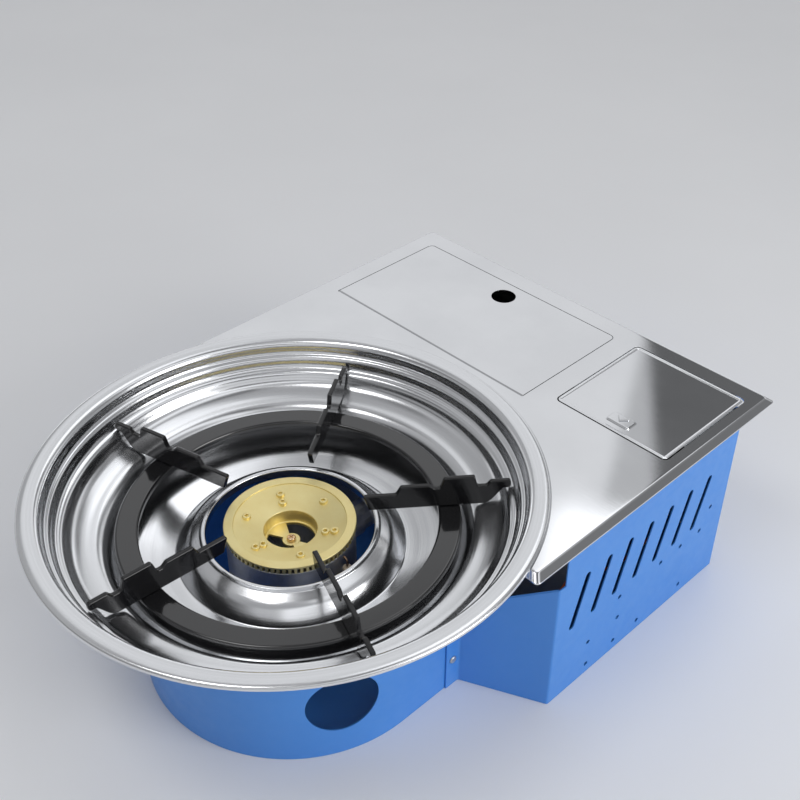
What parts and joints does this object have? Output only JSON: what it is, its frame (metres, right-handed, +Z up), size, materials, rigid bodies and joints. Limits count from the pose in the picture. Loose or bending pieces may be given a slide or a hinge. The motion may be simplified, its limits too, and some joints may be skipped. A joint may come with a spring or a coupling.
{
  "type": "drop-in table gas stove",
  "caption": "Drop-in table stove: steel panel with cartridge lid and push cover, stepped spun drip bowl, lift-out pot support, brass burner, and a slotted blue sheet housing below.",
  "frame": {"origin": "on the base, at the middle of the plan's bounding box", "axes": "+Z up, +Y from the user's side towards the drip bowl, +X to the user's right, where the cartridge lid is"},
  "size_m": [0.3492, 0.4864, 0.1514],
  "materials": {
    "blue_paint": "satin blue powder coat on thin sheet",
    "polished_stainless": "bright stainless sheet",
    "spun_stainless": "spun stainless with fine rings",
    "zinc_plate": "zinc-plated steel",
    "dark_plate": "dark grey coated sheet",
    "brass": "machined brass",
    "cast_aluminium": "dull casting",
    "black_enamel": "gloss black enamel on steel",
    "copper_wire": "heat-tinted wire",
    "ceramic": "glazed ceramic",
    "black_plastic": "black moulded plastic",
    "orange_lead": "orange silicone lead"
  },
  "bodies": {
    "housing": {"base_plate": "blue_paint", "front_panel": "blue_paint", "side_panel_left": "blue_paint", "side_panel_right": "blue_paint", "drum_wall": "blue_paint", "strip_rivet_left": "zinc_plate", "strip_rivet_right": "zinc_plate", "top_panel": "polished_stainless", "drip_bowl": "spun_stainless", "cartridge_bay": "zinc_plate", "lid_frame": "zinc_plate", "lid_pin": "zinc_plate", "knob_well": "zinc_plate", "cover_frame": "zinc_plate", "cover_pin": "zinc_plate", "burner_cap": "brass", "cap_screw": "zinc_plate", "burner_body": "cast_aluminium", "mixing_tube": "cast_aluminium", "burner_bracket": "zinc_plate", "electrode_insulator": "ceramic", "electrode_rod": "copper_wire", "electrode_clip": "zinc_plate", "heat_shield": "dark_plate", "cartridge_connector": "black_plastic", "regulator_body": "cast_aluminium", "valve_body": "cast_aluminium", "piezo_igniter": "black_plastic", "gas_pipe": "zinc_plate", "injector_nozzle": "brass", "injector_bracket": "zinc_plate", "ignition_lead": "orange_lead"},
    "lid": {"canister_lid": "polished_stainless"},
    "cover": {"push_cover": "polished_stainless"},
    "knob": {"control_knob": "black_plastic", "knob_spindle": "zinc_plate"},
    "lever": {"lock_lever": "black_plastic"},
    "pot_support": {"support_ring": "black_enamel", "support_arm_1": "black_enamel", "support_arm_2": "black_enamel", "support_arm_3": "black_enamel", "support_arm_4": "black_enamel", "support_arm_5": "black_enamel"}
  },
  "joints": [
    {"name": "lid_hinge", "type": "hinge", "parent": "housing", "child": "lid", "pos_m": [0.05375, -0.1186, 0.142], "axis": [-1, 0, 0], "range_deg": [0, 93]},
    {"name": "cover_rock", "type": "hinge", "parent": "housing", "child": "cover", "pos_m": [-0.1135, -0.1436, 0.1425], "axis": [-1, 0, 0], "range_deg": [0, 60]},
    {"name": "knob_turn", "type": "hinge", "parent": "housing", "child": "knob", "pos_m": [-0.1135, -0.1876, 0.1144], "axis": [0, 0, 1], "range_deg": [0, 90]},
    {"name": "lever_slide", "type": "slide", "parent": "housing", "child": "lever", "axis": [1, 0, 0], "range_m": [0, 0.008]},
    {"name": "support_lift", "type": "slide", "parent": "housing", "child": "pot_support", "axis": [0, 0, 1], "range_m": [0, 0.08]}
  ]
}
